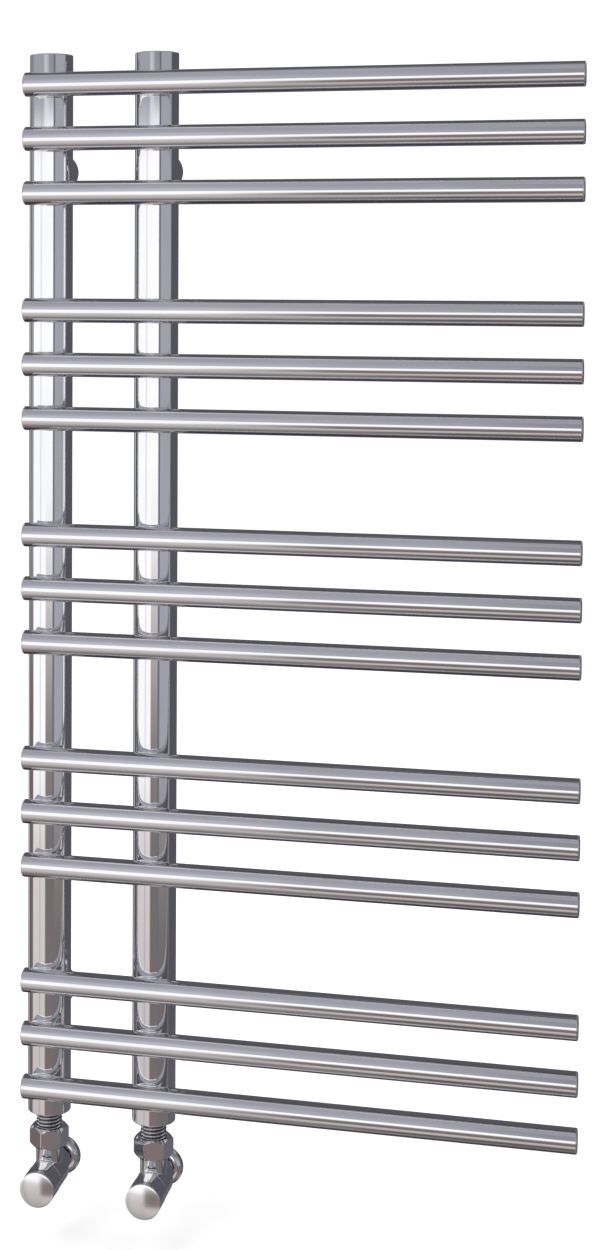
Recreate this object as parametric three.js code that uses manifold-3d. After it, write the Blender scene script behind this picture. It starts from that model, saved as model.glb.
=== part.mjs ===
// Chrome towel radiator with two angle valves, hung on a wall by four round brackets.
//
// Millimetres, +Z up. The origin is on the wall plane, midway between the two upright
// collectors and at mid-height of the bars. The bars face -Y and the wall is the plane Y = 0.
//
// Fifteen round bars lie across the front of two collectors in five groups of three. Water
// enters one collector and leaves the other through a valve hung below each of them.

import * as THREE from 'three';
import { mergeVertices } from 'three/addons/utils/BufferGeometryUtils.js';
import Module from 'manifold-3d';

const wasm = await Module();
wasm.setup();

// ---------------------------------------------------------------------------------------
// Driving dimensions
// ---------------------------------------------------------------------------------------

const GAP = 0.3;            // between pieces that touch
const RUNNING = 0.1;        // radial play of a shaft that turns in its bore
const PLAY = 0.02;          // added to a tool that cuts past a face

const BAR_D = 22;
const BAR_WALL = 1.2;
const BAR_LENGTH = 500;
const BAR_OVERHANG = 17;    // left end of a bar to the left collector's axis
const BAR_PITCH = 49.25;    // between neighbours in a group
const GROUP_PITCH = 205;    // between the first bars of two groups
const GROUPS = 5;
const BARS_PER_GROUP = 3;
const BAR_EDGE = 2;         // bevel round each closed end
const PORT_D = 8;           // water way from a bar into a collector

const COLLECTOR_D = 40;
const COLLECTOR_WALL = 1.5;
const COLLECTOR_SPACING = 100;
const COLLECTOR_TO_WALL = 43;   // axis to wall
const COLLECTOR_ABOVE = 29;     // top end above the top bar's axis
const COLLECTOR_BELOW = 29.5;   // bottom end below the bottom bar's axis
const SADDLE_DEPTH = 4;         // how far a bar sinks into a collector
const TOP_CAP_T = 3;
const BUSH_HEIGHT = 12;

const BRACKET_SPACING = 763;    // between the upper and the lower pair
const BRACKET_D = 36;
const BRACKET_REACH = 29.5;     // collector axis to the back of the round boss
const SLEEVE_D = 22;
const SLEEVE_FLANGE_D = 26;
const SLEEVE_FLANGE_T = 3;
const WALL_SCREW_D = 5.5;

const VALVE_DROP = 60.2;        // collector's bottom end to the valve's level axis
const HANDLE_D = 32.4;
const HANDLE_WALL = 2.2;
const HANDLE_FRONT = 39.3;      // handle's front face to the upright axis
const CAP_RISE = 2.9;           // dome of the cap in front of the handle
const BODY_FRONT = 16;          // front of the valve body to the upright axis
const BODY_REAR = 15;           // shoulder behind which the pipe thread starts
const NECK_D = 25;
const PORT_BORE_D = 15;
const THREAD_D = 24;            // exposed thread of the tailpiece
const THREAD_PITCH = 3.3;
const THREAD_DEPTH = 1.2;
const NUT_FLATS = 32;
const NUT_HEIGHT = 19;
const NUT_BOTTOM = 26.5;        // underside of the union nut above the level axis
const NUT_CHAMFER = 3.5;
const NUT_TURNS = [22, 15];     // where each union nut stopped when tightened, degrees
const UNION_D = THREAD_D + 2.4; // thread between the union nut and the valve body
const PIPE_D = 15;
const PIPE_WALL = 1;
const PIPE_THREAD_D = 20.8;
const PIPE_NUT_FLATS = 24;
const ROSE_D = 36.8;
const ROSE_DEPTH = 8.7;
const LIFT = 3;                 // travel of the valve disc from shut to open

const VENT_DROP = 16;           // vent screw below the top of the right collector
const VENT_D = 6;
const VENT_SQUARE = 5;          // key end of the vent screw

const FINE_SEGMENTS = 20;       // facets round a collector, a handle and a barrel
const SEGMENTS = 16;            // facets round most pieces
const COARSE_SEGMENTS = 12;     // facets round hidden bores and small inner pieces

// ---------------------------------------------------------------------------------------
// Derived places
// ---------------------------------------------------------------------------------------

const BAR_R = BAR_D / 2;
const COLLECTOR_R = COLLECTOR_D / 2;
const COLLECTOR_BORE = COLLECTOR_R - COLLECTOR_WALL;
const BARS_SPAN = (GROUPS - 1) * GROUP_PITCH + (BARS_PER_GROUP - 1) * BAR_PITCH;
const BAR_TOP_Z = BARS_SPAN / 2;
const COLLECTOR_TOP_Z = BAR_TOP_Z + COLLECTOR_ABOVE;
const COLLECTOR_BOTTOM_Z = -BAR_TOP_Z - COLLECTOR_BELOW;
const COLLECTOR_Y = -COLLECTOR_TO_WALL;
const BAR_Y = COLLECTOR_Y - COLLECTOR_R - BAR_R + SADDLE_DEPTH;
const COLLECTOR_XS = [-COLLECTOR_SPACING / 2, COLLECTOR_SPACING / 2];
const BAR_START_X = COLLECTOR_XS[0] - BAR_OVERHANG;
const VALVE_Z = COLLECTOR_BOTTOM_Z - VALVE_DROP;

const X = new THREE.Vector3(1, 0, 0);
const Y = new THREE.Vector3(0, 1, 0);
const Z = new THREE.Vector3(0, 0, 1);

// ---------------------------------------------------------------------------------------
// Materials
// ---------------------------------------------------------------------------------------

function finish(color, roughness, metalness) {
  return () => new THREE.MeshStandardMaterial({ color, roughness, metalness });
}

const chrome = finish(0xd9dade, 0.08, 1);
const steel = finish(0xa9a9a6, 0.3, 1);
const brass = finish(0xb89a5a, 0.3, 1);
const rubber = finish(0x1c1c1d, 0.8, 0);

// ---------------------------------------------------------------------------------------
// Solids
// ---------------------------------------------------------------------------------------

// A closed geometry as a solid that can be joined and cut.
function solid(geometry) {
  const plain = geometry.clone();
  plain.deleteAttribute('normal');
  plain.deleteAttribute('uv');
  const merged = mergeVertices(plain, 1e-5);
  const mesh = new wasm.Mesh({
    numProp: 3,
    vertProperties: new Float32Array(merged.attributes.position.array),
    triVerts: new Uint32Array(merged.index.array),
  });
  return new wasm.Manifold(mesh);
}

// Turns a profile of [radius, distance along the axis] points about the axis. The profile runs
// up its outside; it starts and ends on the axis, or it closes on itself round a through bore.
function turned(profile, axis = Z, segments = SEGMENTS) {
  const onAxis = profile[0][0] === 0;
  const points = profile.map(([r, t]) => new THREE.Vector2(r, t));
  if (!onAxis) points.push(points[0].clone());
  const geometry = new THREE.LatheGeometry(points, segments);
  const turn = new THREE.Quaternion().setFromUnitVectors(Y, axis);
  return solid(geometry.applyQuaternion(turn));
}

function rod(radius, from, to, axis = Z, segments = SEGMENTS) {
  return turned([[0, from], [radius, from], [radius, to], [0, to]], axis, segments);
}

function block(width, depth, height, [x, y, z]) {
  return solid(new THREE.BoxGeometry(width, depth, height).translate(x, y, z));
}

// A prism of six flats whose axis is Z or Y; its first corner lies at the angle turn.
function hexagon(flats, from, to, axis, turn) {
  const corner = flats / Math.sqrt(3);
  const outline = new THREE.Shape();
  for (let i = 0; i < 6; i += 1) {
    const angle = turn + i * Math.PI / 3;
    const x = corner * Math.cos(angle);
    const y = corner * Math.sin(angle);
    if (i === 0) outline.moveTo(x, y);
    else outline.lineTo(x, y);
  }
  const geometry = new THREE.ExtrudeGeometry(outline, { depth: to - from, bevelEnabled: false });
  geometry.translate(0, 0, from);
  geometry.applyQuaternion(new THREE.Quaternion().setFromUnitVectors(Z, axis));
  return solid(geometry);
}

const part = new THREE.Group();

// Places one piece in a group.
function add(group, name, manifold, material, position = [0, 0, 0]) {
  const { vertProperties, triVerts } = manifold.getMesh();
  const geometry = new THREE.BufferGeometry();
  geometry.setAttribute('position', new THREE.BufferAttribute(vertProperties, 3));
  geometry.setIndex(new THREE.BufferAttribute(triVerts, 1));
  geometry.computeVertexNormals();
  const mesh = new THREE.Mesh(geometry, material());
  mesh.name = name;
  mesh.position.set(...position);
  group.add(mesh);
  return mesh;
}

// ---------------------------------------------------------------------------------------
// Bars: tubes with closed, bevelled ends and a water port behind each collector
// ---------------------------------------------------------------------------------------

function barHeights() {
  const heights = [];
  for (let group = 0; group < GROUPS; group += 1) {
    for (let i = 0; i < BARS_PER_GROUP; i += 1) {
      heights.push(BAR_TOP_Z - group * GROUP_PITCH - i * BAR_PITCH);
    }
  }
  return heights;
}

function barSolid() {
  const end = BAR_R - BAR_EDGE;
  const bore = BAR_R - BAR_WALL;
  let bar = turned([
    [0, 0],
    [end, 0],
    [BAR_R, BAR_EDGE],
    [BAR_R, BAR_LENGTH - BAR_EDGE],
    [end, BAR_LENGTH],
    [0, BAR_LENGTH],
  ], X);
  bar = bar.subtract(rod(bore, BAR_EDGE, BAR_LENGTH - BAR_EDGE, X, COARSE_SEGMENTS));
  for (const x of COLLECTOR_XS) {
    const port = rod(PORT_D / 2, 0, BAR_D, Y, 8).translate([x - BAR_START_X, 0, 0]);
    bar = bar.subtract(port);
  }
  return bar;
}

const bars = new THREE.Group();
bars.position.set(BAR_START_X, BAR_Y, 0);
part.add(bars);
barHeights().forEach((z, i) => {
  const name = `bar_${String(i + 1).padStart(2, '0')}`;
  add(bars, name, barSolid(), chrome, [0, 0, z]);
});

// ---------------------------------------------------------------------------------------
// Collectors: upright tubes, notched for the bars, with a cap on top and a threaded bush below
// ---------------------------------------------------------------------------------------

function collectorSolid(hasVent) {
  let tube = turned([
    [COLLECTOR_BORE, COLLECTOR_BOTTOM_Z],
    [COLLECTOR_R, COLLECTOR_BOTTOM_Z],
    [COLLECTOR_R, COLLECTOR_TOP_Z],
    [COLLECTOR_BORE, COLLECTOR_TOP_Z],
  ], Z, FINE_SEGMENTS);
  for (const z of barHeights()) {
    const saddle = rod(BAR_R + GAP, -COLLECTOR_D, COLLECTOR_D, X);
    tube = tube.subtract(saddle.translate([0, BAR_Y - COLLECTOR_Y, z]));
  }
  if (hasVent) {
    const vent = rod(VENT_D / 2 + RUNNING, 0, COLLECTOR_D, Y, 16);
    tube = tube.subtract(vent.translate([0, 0, COLLECTOR_TOP_Z - VENT_DROP]));
  }
  return tube;
}

function topCapSolid() {
  return rod(COLLECTOR_BORE - GAP, -TOP_CAP_T, 0);
}

function bushSolid() {
  const bore = THREAD_D / 2 + GAP;
  const outside = COLLECTOR_BORE - GAP;
  return turned([[bore, 0], [outside, 0], [outside, BUSH_HEIGHT], [bore, BUSH_HEIGHT]]);
}

// Square-headed needle that lets the air out at the back of the right collector.
function ventScrewSolid() {
  const shoulder = COLLECTOR_R + GAP;
  const needle = turned([
    [0, shoulder - 6],
    [VENT_D / 2, shoulder - 4],
    [VENT_D / 2, shoulder],
    [VENT_D / 2 + 2, shoulder],
    [VENT_D / 2 + 2, shoulder + 1.5],
    [0, shoulder + 1.5],
  ], Y, 16);
  return needle.add(block(VENT_SQUARE, 7, VENT_SQUARE, [0, shoulder + 4.5, 0]));
}

COLLECTOR_XS.forEach((x, i) => {
  const side = i + 1;
  const group = new THREE.Group();
  group.position.set(x, COLLECTOR_Y, 0);
  part.add(group);
  add(group, `collector_${side}`, collectorSolid(side === 2), chrome);
  add(group, `collector_cap_${side}`, topCapSolid(), chrome, [0, 0, COLLECTOR_TOP_Z]);
  add(group, `collector_bush_${side}`, bushSolid(), steel, [0, 0, COLLECTOR_BOTTOM_Z]);
  if (side === 2) {
    add(group, 'vent_screw', ventScrewSolid(), brass, [0, 0, COLLECTOR_TOP_Z - VENT_DROP]);
  }
});

// ---------------------------------------------------------------------------------------
// Brackets: a round boss saddled to the collector's back, sleeved over a flanged wall spigot
// ---------------------------------------------------------------------------------------

const SOCKET_FLOOR = BRACKET_REACH - 5.5;

function bracketBossSolid() {
  const outside = rod(BRACKET_D / 2, 0, BRACKET_REACH, Y, FINE_SEGMENTS);
  const saddle = rod(COLLECTOR_R + GAP, -BRACKET_D, BRACKET_D, Z, FINE_SEGMENTS);
  const socket = rod(SLEEVE_D / 2 + 2 * GAP, SOCKET_FLOOR, BRACKET_REACH + PLAY, Y);
  return outside.subtract(saddle).subtract(socket);
}

function wallSleeveSolid() {
  const outside = SLEEVE_D / 2;
  const bore = outside - 2.5;
  const flange = SLEEVE_FLANGE_D / 2;
  const flangeY = COLLECTOR_TO_WALL - SLEEVE_FLANGE_T;
  const screw = WALL_SCREW_D / 2;
  return turned([
    [screw, COLLECTOR_TO_WALL],
    [screw, flangeY],
    [bore, flangeY],
    [bore, SOCKET_FLOOR + GAP],
    [outside, SOCKET_FLOOR + GAP],
    [outside, flangeY],
    [flange, flangeY],
    [flange, COLLECTOR_TO_WALL],
  ], Y, COARSE_SEGMENTS);
}

for (const [row, z] of [['upper', BRACKET_SPACING / 2], ['lower', -BRACKET_SPACING / 2]]) {
  COLLECTOR_XS.forEach((x, i) => {
    const group = new THREE.Group();
    group.position.set(x, COLLECTOR_Y, z);
    part.add(group);
    add(group, `bracket_boss_${row}_${i + 1}`, bracketBossSolid(), chrome);
    add(group, `wall_sleeve_${row}_${i + 1}`, wallSleeveSolid(), chrome);
  });
}

// ---------------------------------------------------------------------------------------
// Valves. Distances along a valve are from the crossing of its level and upright axes;
// the front is negative, as -Y is.
// ---------------------------------------------------------------------------------------

const HANDLE_R = HANDLE_D / 2;
const BODY_R = HANDLE_R - 0.4;
const NECK_R = NECK_D / 2;
const UNION_R = UNION_D / 2;
const PORT_R = PORT_BORE_D / 2;
const CHAMBER_R = 9.5;
const CHAMBER_REAR = 8.5;       // plane of the seat
const SEAT_R = 5;
const PIPE_SOCKET = 14;         // floor of the pipe's socket
const BODY_TAIL = BODY_REAR + 12;
const HEAD_TOP = NUT_BOTTOM + 10.2;
const WASHER_T = 1.5;
const COLLAR_T = 3.4;
const COLLAR_BOTTOM = HEAD_TOP + WASHER_T + 2 * GAP;
const COLLAR_TOP = COLLAR_BOTTOM + COLLAR_T;
const NUT_TOP = NUT_BOTTOM + NUT_HEIGHT;

const SPINDLE_R = 3;
const SPINDLE_FRONT = HANDLE_FRONT - 5.3;
const SPINDLE_COLLAR_R = 5.5;
const SPINDLE_COLLAR_T = 1.2;
const SQUARE = 4.2;             // drive between the spindle and the disc carrier
const BONNET_REAR = 6.5;
const BONNET_BORE_FRONT = 15.5;
const BONNET_FLANGE_T = 3;
const BONNET_FRONT = 24;
const BONNET_CORNER_R = HANDLE_R - HANDLE_WALL - 1.3;
const BONNET_FLATS = BONNET_CORNER_R * Math.sqrt(3);
const BONNET_NOSE_R = 7;
const SEAL_FROM = 21.9;
const SEAL_TO = 19.5;
const SEAL_SECTION_R = 0.8;
const SEAL_GROOVE_R = 5.1;
const CARRIER_R = 6.7;
const CARRIER_FRONT = 9.5;
const CARRIER_HEAD_R = 7.6;
const NUB_R = 1.3;              // stud that the valve disc is pressed on
const DISC_R = 7;
const DISC_T = 2.5;
const DISC_REAR = CHAMBER_REAR - GAP;
const DISC_FRONT = DISC_REAR - DISC_T;
const CARRIER_REAR = DISC_FRONT - GAP;
const CARRIER_HEAD_T = 2.2;
const SCREW_HEAD_R = 4.3;
const SCREW_HEAD_T = 1.4;
const SCREW_R = 1.9;
const SCREW_RECESS = 3.3;
const HUB_R = 7;

function bodySolid() {
  const barrel = turned([
    [0, -BODY_FRONT],
    [BODY_R - 1, -BODY_FRONT],
    [BODY_R, -BODY_FRONT + 1],
    [BODY_R, BODY_REAR - 3],
    [BODY_R - 3, BODY_REAR],
    [PIPE_THREAD_D / 2, BODY_REAR],
    [PIPE_THREAD_D / 2, BODY_TAIL],
    [0, BODY_TAIL],
  ], Y, FINE_SEGMENTS);
  const neck = turned([
    [0, 0],
    [NECK_R, 0],
    [NECK_R, NUT_BOTTOM],
    [UNION_R, NUT_BOTTOM + 1],
    [UNION_R, HEAD_TOP],
    [0, HEAD_TOP],
  ]);
  const chamber = rod(CHAMBER_R, -BODY_FRONT - PLAY, CHAMBER_REAR, Y);
  const seat = rod(SEAT_R, 0, BODY_TAIL, Y, COARSE_SEGMENTS);
  const socket = rod(PIPE_D / 2 + GAP, PIPE_SOCKET, BODY_TAIL + PLAY, Y);
  const outlet = rod(PORT_R, 0, HEAD_TOP + PLAY, Z, COARSE_SEGMENTS);
  return barrel.add(neck).subtract(chamber).subtract(seat).subtract(socket).subtract(outlet);
}

function unionNutSolid(turn) {
  const prism = hexagon(NUT_FLATS, NUT_BOTTOM, NUT_TOP, Z, turn);
  const corner = NUT_FLATS / Math.sqrt(3);
  const face = corner - NUT_CHAMFER;
  const chamfer = turned([
    [0, NUT_BOTTOM],
    [face, NUT_BOTTOM],
    [corner + 1, NUT_BOTTOM + NUT_CHAMFER + 1],
    [corner + 1, NUT_TOP - NUT_CHAMFER - 1],
    [face, NUT_TOP],
    [0, NUT_TOP],
  ]);
  const lip = COLLAR_TOP + GAP;
  const bore = rod(UNION_R + GAP, NUT_BOTTOM - PLAY, lip);
  const hole = rod(THREAD_D / 2 + GAP, lip - PLAY, NUT_TOP + PLAY);
  return prism.intersect(chamfer).subtract(bore).subtract(hole);
}

function tailpieceSolid() {
  const crest = THREAD_D / 2;
  const root = crest - THREAD_DEPTH;
  const top = VALVE_DROP + BUSH_HEIGHT - 2;
  const collar = UNION_R;
  const profile = [
    [PORT_R, COLLAR_BOTTOM],
    [collar, COLLAR_BOTTOM],
    [collar, COLLAR_TOP],
    [crest, COLLAR_TOP],
  ];
  const turns = Math.floor((top - NUT_TOP) / THREAD_PITCH);
  const start = top - turns * THREAD_PITCH;
  profile.push([crest, start]);
  for (let i = 0; i < turns; i += 1) {
    profile.push([root, start + (i + 0.5) * THREAD_PITCH]);
    profile.push([crest, start + (i + 1) * THREAD_PITCH]);
  }
  profile.push([PORT_R, top]);
  return turned(profile);
}

function tailWasherSolid() {
  const bottom = HEAD_TOP + GAP;
  const inside = PORT_R + 0.5;
  const outside = UNION_R - GAP;
  const top = bottom + WASHER_T;
  return turned([[inside, bottom], [outside, bottom], [outside, top], [inside, top]], Z, COARSE_SEGMENTS);
}

// Screwed into the body's front; carries the spindle and the disc carrier's thread.
function bonnetSolid() {
  const outside = CHAMBER_R - GAP;
  const flangeRear = -BODY_FRONT - GAP;
  const flangeFront = flangeRear - BONNET_FLANGE_T;
  const shell = turned([
    [0, -BONNET_FRONT],
    [BONNET_NOSE_R, -BONNET_FRONT],
    [BONNET_NOSE_R, flangeFront + 1],
    [outside, flangeFront + 1],
    [outside, -BONNET_REAR],
    [0, -BONNET_REAR],
  ], Y);
  const flange = hexagon(BONNET_FLATS, flangeFront, flangeRear, Y, 0);
  const bore = rod(CARRIER_R + GAP, -BONNET_BORE_FRONT, -BONNET_REAR + PLAY, Y, COARSE_SEGMENTS);
  const passage = rod(SPINDLE_R + RUNNING, -BONNET_FRONT - PLAY, -BONNET_REAR, Y);
  const groove = rod(SEAL_GROOVE_R, -SEAL_FROM, -SEAL_TO, Y, COARSE_SEGMENTS);
  return shell.add(flange).subtract(bore).subtract(passage).subtract(groove);
}

function spindleSolid() {
  const collarFront = -BONNET_BORE_FRONT + GAP;
  const collarRear = collarFront + SPINDLE_COLLAR_T;
  const shaft = turned([
    [0, -SPINDLE_FRONT],
    [SPINDLE_R, -SPINDLE_FRONT],
    [SPINDLE_R, collarFront],
    [SPINDLE_COLLAR_R, collarFront],
    [SPINDLE_COLLAR_R, collarRear],
    [0, collarRear],
  ], Y);
  const squareRear = CARRIER_REAR - CARRIER_HEAD_T - LIFT - 2.2;
  const length = squareRear - collarRear + 0.5;
  const square = block(SQUARE, length, SQUARE, [0, squareRear - length / 2, 0]);
  const thread = rod(SCREW_R + GAP, -SPINDLE_FRONT - PLAY, -SPINDLE_FRONT + 8, Y, 12);
  return shaft.add(square).subtract(thread);
}

function spindleSealSolid() {
  const middle = -(SEAL_FROM + SEAL_TO) / 2;
  const centre = SPINDLE_R + RUNNING + SEAL_SECTION_R;
  const profile = [];
  const sides = 5;
  for (let i = 0; i < sides; i += 1) {
    const angle = 2 * Math.PI * (i + 0.5) / sides;
    profile.push([centre + SEAL_SECTION_R * Math.cos(angle), middle + SEAL_SECTION_R * Math.sin(angle)]);
  }
  return turned(profile, Y, SEGMENTS);
}

function discCarrierSolid() {
  const headFront = CARRIER_REAR - CARRIER_HEAD_T;
  const carrier = turned([
    [0, -CARRIER_FRONT],
    [CARRIER_R, -CARRIER_FRONT],
    [CARRIER_R, headFront],
    [CARRIER_HEAD_R, headFront],
    [CARRIER_HEAD_R, CARRIER_REAR],
    [NUB_R, CARRIER_REAR],
    [NUB_R, DISC_REAR - 0.6],
    [0, DISC_REAR - 0.6],
  ], Y, COARSE_SEGMENTS);
  const play = 2 * GAP;
  const depth = CARRIER_FRONT + headFront - 1.7;
  const socketMiddle = -CARRIER_FRONT + depth / 2 - PLAY;
  const socket = block(SQUARE + play, depth, SQUARE + play, [0, socketMiddle, 0]);
  return carrier.subtract(socket);
}

function discSolid() {
  const hole = NUB_R + GAP;
  const profile = [[hole, DISC_FRONT], [DISC_R, DISC_FRONT], [DISC_R, DISC_REAR], [hole, DISC_REAR]];
  return turned(profile, Y, COARSE_SEGMENTS);
}

// A cup over the bonnet with a hub that fits the spindle's front end.
function handleSolid() {
  const rear = -BODY_FRONT - 2 * GAP;
  const wall = -HANDLE_FRONT + 4.3;
  const cup = turned([
    [0, -HANDLE_FRONT],
    [HANDLE_R, -HANDLE_FRONT],
    [HANDLE_R, rear - 0.6],
    [HANDLE_R - 0.6, rear],
    [0, rear],
  ], Y, FINE_SEGMENTS);
  const hub = rod(HUB_R, wall - PLAY, -BONNET_FRONT - 2 * GAP, Y);
  const hollow = rod(HANDLE_R - HANDLE_WALL, wall, rear + PLAY, Y).subtract(hub);
  const bore = rod(SPINDLE_R + GAP, -SPINDLE_FRONT - GAP, rear, Y);
  const hole = rod(SCREW_R + GAP, -HANDLE_FRONT, rear, Y, 12);
  const recess = rod(SCREW_HEAD_R + GAP, -HANDLE_FRONT - PLAY, -HANDLE_FRONT + SCREW_RECESS, Y);
  return cup.subtract(hollow).subtract(bore).subtract(hole).subtract(recess);
}

function handleScrewSolid() {
  const headRear = -HANDLE_FRONT + SCREW_RECESS - GAP;
  const headFront = headRear - SCREW_HEAD_T;
  return turned([
    [0, headFront],
    [SCREW_HEAD_R, headFront],
    [SCREW_HEAD_R, headRear],
    [SCREW_R, headRear],
    [SCREW_R, -SPINDLE_FRONT + 6],
    [0, -SPINDLE_FRONT + 6],
  ], Y, COARSE_SEGMENTS);
}

// Domed disc over the handle's front, with a spigot that snaps into the screw recess.
function handleCapSolid() {
  const rear = -HANDLE_FRONT - GAP;
  const rim = 0.8;
  const profile = [[0, rear - CAP_RISE]];
  const steps = 3;
  for (let i = 1; i <= steps; i += 1) {
    const angle = (Math.PI / 2) * (i / steps);
    const rise = (CAP_RISE - rim) * Math.cos(angle);
    profile.push([HANDLE_R * Math.sin(angle), rear - rim - rise]);
  }
  const spigotRear = -HANDLE_FRONT + SCREW_RECESS - SCREW_HEAD_T - 3 * GAP;
  profile.push([HANDLE_R, rear], [SCREW_HEAD_R, rear], [SCREW_HEAD_R, spigotRear], [0, spigotRear]);
  return turned(profile, Y, FINE_SEGMENTS);
}

function pipeNutSolid() {
  const front = BODY_REAR + GAP;
  const rear = BODY_TAIL + 3;
  const corner = PIPE_NUT_FLATS / Math.sqrt(3);
  const chamfer = turned([
    [0, front],
    [corner + 0.5, front],
    [corner + 0.5, rear - 2.5],
    [corner - 1.5, rear],
    [0, rear],
  ], Y);
  const prism = hexagon(PIPE_NUT_FLATS, front, rear, Y, 0);
  const bore = rod(PIPE_THREAD_D / 2 + GAP, front - PLAY, BODY_TAIL + GAP, Y);
  const hole = rod(PIPE_D / 2 + GAP, front, rear + PLAY, Y);
  return prism.intersect(chamfer).subtract(bore).subtract(hole);
}

function pipeSolid() {
  const outside = PIPE_D / 2;
  const bore = outside - PIPE_WALL;
  const front = PIPE_SOCKET + GAP;
  const rear = COLLECTOR_TO_WALL;
  return turned([[bore, rear], [bore, front], [outside, front], [outside, rear]], Y);
}

// Bell-shaped cover over the hole in the wall.
function roseSolid() {
  const hole = PIPE_D / 2 + 2 * GAP;
  const rim = ROSE_D / 2;
  const wall = COLLECTOR_TO_WALL;
  const front = wall - ROSE_DEPTH;
  const thickness = 1.2;
  const steps = 3;
  const outside = [[hole, front]];
  const inside = [];
  for (let i = 0; i <= steps; i += 1) {
    const angle = (Math.PI / 2) * (i / steps);
    const r = hole + 3 + (rim - hole - 3) * Math.sin(angle);
    const y = wall - 1.5 - (ROSE_DEPTH - 1.5) * Math.cos(angle);
    outside.push([r, y]);
    inside.unshift([r - thickness * Math.sin(angle), y + thickness * Math.cos(angle)]);
  }
  outside.push([rim, wall]);
  inside.unshift([rim - thickness, wall]);
  inside.push([hole, front + thickness]);
  return turned([...outside, ...inside], Y);
}

COLLECTOR_XS.forEach((x, i) => {
  const side = i + 1;
  const valve = new THREE.Group();
  valve.position.set(x, COLLECTOR_Y, VALVE_Z);
  part.add(valve);
  add(valve, `valve_body_${side}`, bodySolid(), chrome);
  add(valve, `union_nut_${side}`, unionNutSolid(THREE.MathUtils.degToRad(NUT_TURNS[i])), chrome);
  add(valve, `tailpiece_${side}`, tailpieceSolid(), chrome);
  add(valve, `tail_washer_${side}`, tailWasherSolid(), rubber);
  add(valve, `bonnet_${side}`, bonnetSolid(), brass);
  add(valve, `spindle_${side}`, spindleSolid(), brass);
  add(valve, `spindle_seal_${side}`, spindleSealSolid(), rubber);
  add(valve, `disc_carrier_${side}`, discCarrierSolid(), brass);
  add(valve, `valve_disc_${side}`, discSolid(), rubber);
  add(valve, `handle_${side}`, handleSolid(), chrome);
  add(valve, `handle_screw_${side}`, handleScrewSolid(), steel);
  add(valve, `handle_cap_${side}`, handleCapSolid(), chrome);
  add(valve, `pipe_nut_${side}`, pipeNutSolid(), chrome);
  add(valve, `inlet_pipe_${side}`, pipeSolid(), chrome);
  add(valve, `rose_${side}`, roseSolid(), chrome);
});

export default part;
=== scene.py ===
"""Chrome towel radiator with two angle valves, in a pale studio.

Metres, +Z up, +X to the side the bars stand out to, +Y into the wall.
"""

import math

import bmesh
import bpy
from mathutils import Matrix, Vector


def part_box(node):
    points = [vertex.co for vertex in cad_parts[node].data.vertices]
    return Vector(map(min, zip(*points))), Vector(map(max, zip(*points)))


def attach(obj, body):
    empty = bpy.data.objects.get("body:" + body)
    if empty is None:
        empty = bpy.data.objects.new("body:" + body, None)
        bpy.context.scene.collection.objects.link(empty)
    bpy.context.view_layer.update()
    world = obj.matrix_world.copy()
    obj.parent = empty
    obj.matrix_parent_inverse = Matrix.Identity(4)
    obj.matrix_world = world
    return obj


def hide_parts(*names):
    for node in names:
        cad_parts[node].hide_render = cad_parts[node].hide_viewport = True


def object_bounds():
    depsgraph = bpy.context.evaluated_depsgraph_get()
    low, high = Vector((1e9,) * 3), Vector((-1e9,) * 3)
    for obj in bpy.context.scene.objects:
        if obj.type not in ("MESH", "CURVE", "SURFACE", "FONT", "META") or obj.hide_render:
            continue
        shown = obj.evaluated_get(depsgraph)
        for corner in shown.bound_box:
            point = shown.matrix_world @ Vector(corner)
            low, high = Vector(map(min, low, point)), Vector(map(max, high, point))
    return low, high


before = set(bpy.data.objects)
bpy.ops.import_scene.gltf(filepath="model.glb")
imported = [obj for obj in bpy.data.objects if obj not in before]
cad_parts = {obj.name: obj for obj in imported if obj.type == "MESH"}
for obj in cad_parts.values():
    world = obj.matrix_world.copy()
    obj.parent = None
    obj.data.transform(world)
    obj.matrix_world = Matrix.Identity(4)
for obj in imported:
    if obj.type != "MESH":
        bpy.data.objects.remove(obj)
CAD_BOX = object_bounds()
ROOT = "radiator"
SIDES = (1, 2)
SIDE_NAMES = {1: "left", 2: "right"}
MM = 0.001

BAR_EDGE = 1.6 * MM             # rounding of a bar's closed ends
BRAZE_R = 1.1 * MM              # fillet where a bar lies on a collector
COLLECTOR_EDGE = 1.1 * MM
BUSH_STEP = 1.0 * MM            # from the tailpiece's collar in to the bush's bore
BUSH_SINK = 1.4 * MM            # countersink round the thread under a collector
BUSH_PLUG = 0.01                # share of a collector's length where its hidden bore ends
NEEDLE_SINK = 0.6 * MM          # how far it starts inside the collector's wall
NEEDLE_SEAT = 2.2 * MM          # height of the vent needle's round seat
NEEDLE_SQUARE = 5 * MM

BOSS_START = 0.3                # share of a collector's radius where a boss begins, inside it
BOSS_SOCKET = 3 * MM            # depth of the socket in a boss
BOSS_FILLET = 0.8 * MM
SLEEVE_PIPE = 2 * MM            # step from a sleeve's flange in to its pipe
SLEEVE_WALL = 2.2 * MM
SLEEVE_FLANGE = 3 * MM
WALL_SCREW_R = 2.75 * MM

NECK_R = 12.5 * MM
NECK_LIP = 0.6 * MM             # thread on the neck, under the union nut
NECK_FILLET = 0.9 * MM
BARREL_END = 12 * MM            # where the barrel starts to round off behind the neck
SHOULDER = 15 * MM              # where the thread for the pipe nut starts
SHOULDER_STEP = 2.6 * MM
PIPE_THREAD_R = 10.3 * MM

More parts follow.
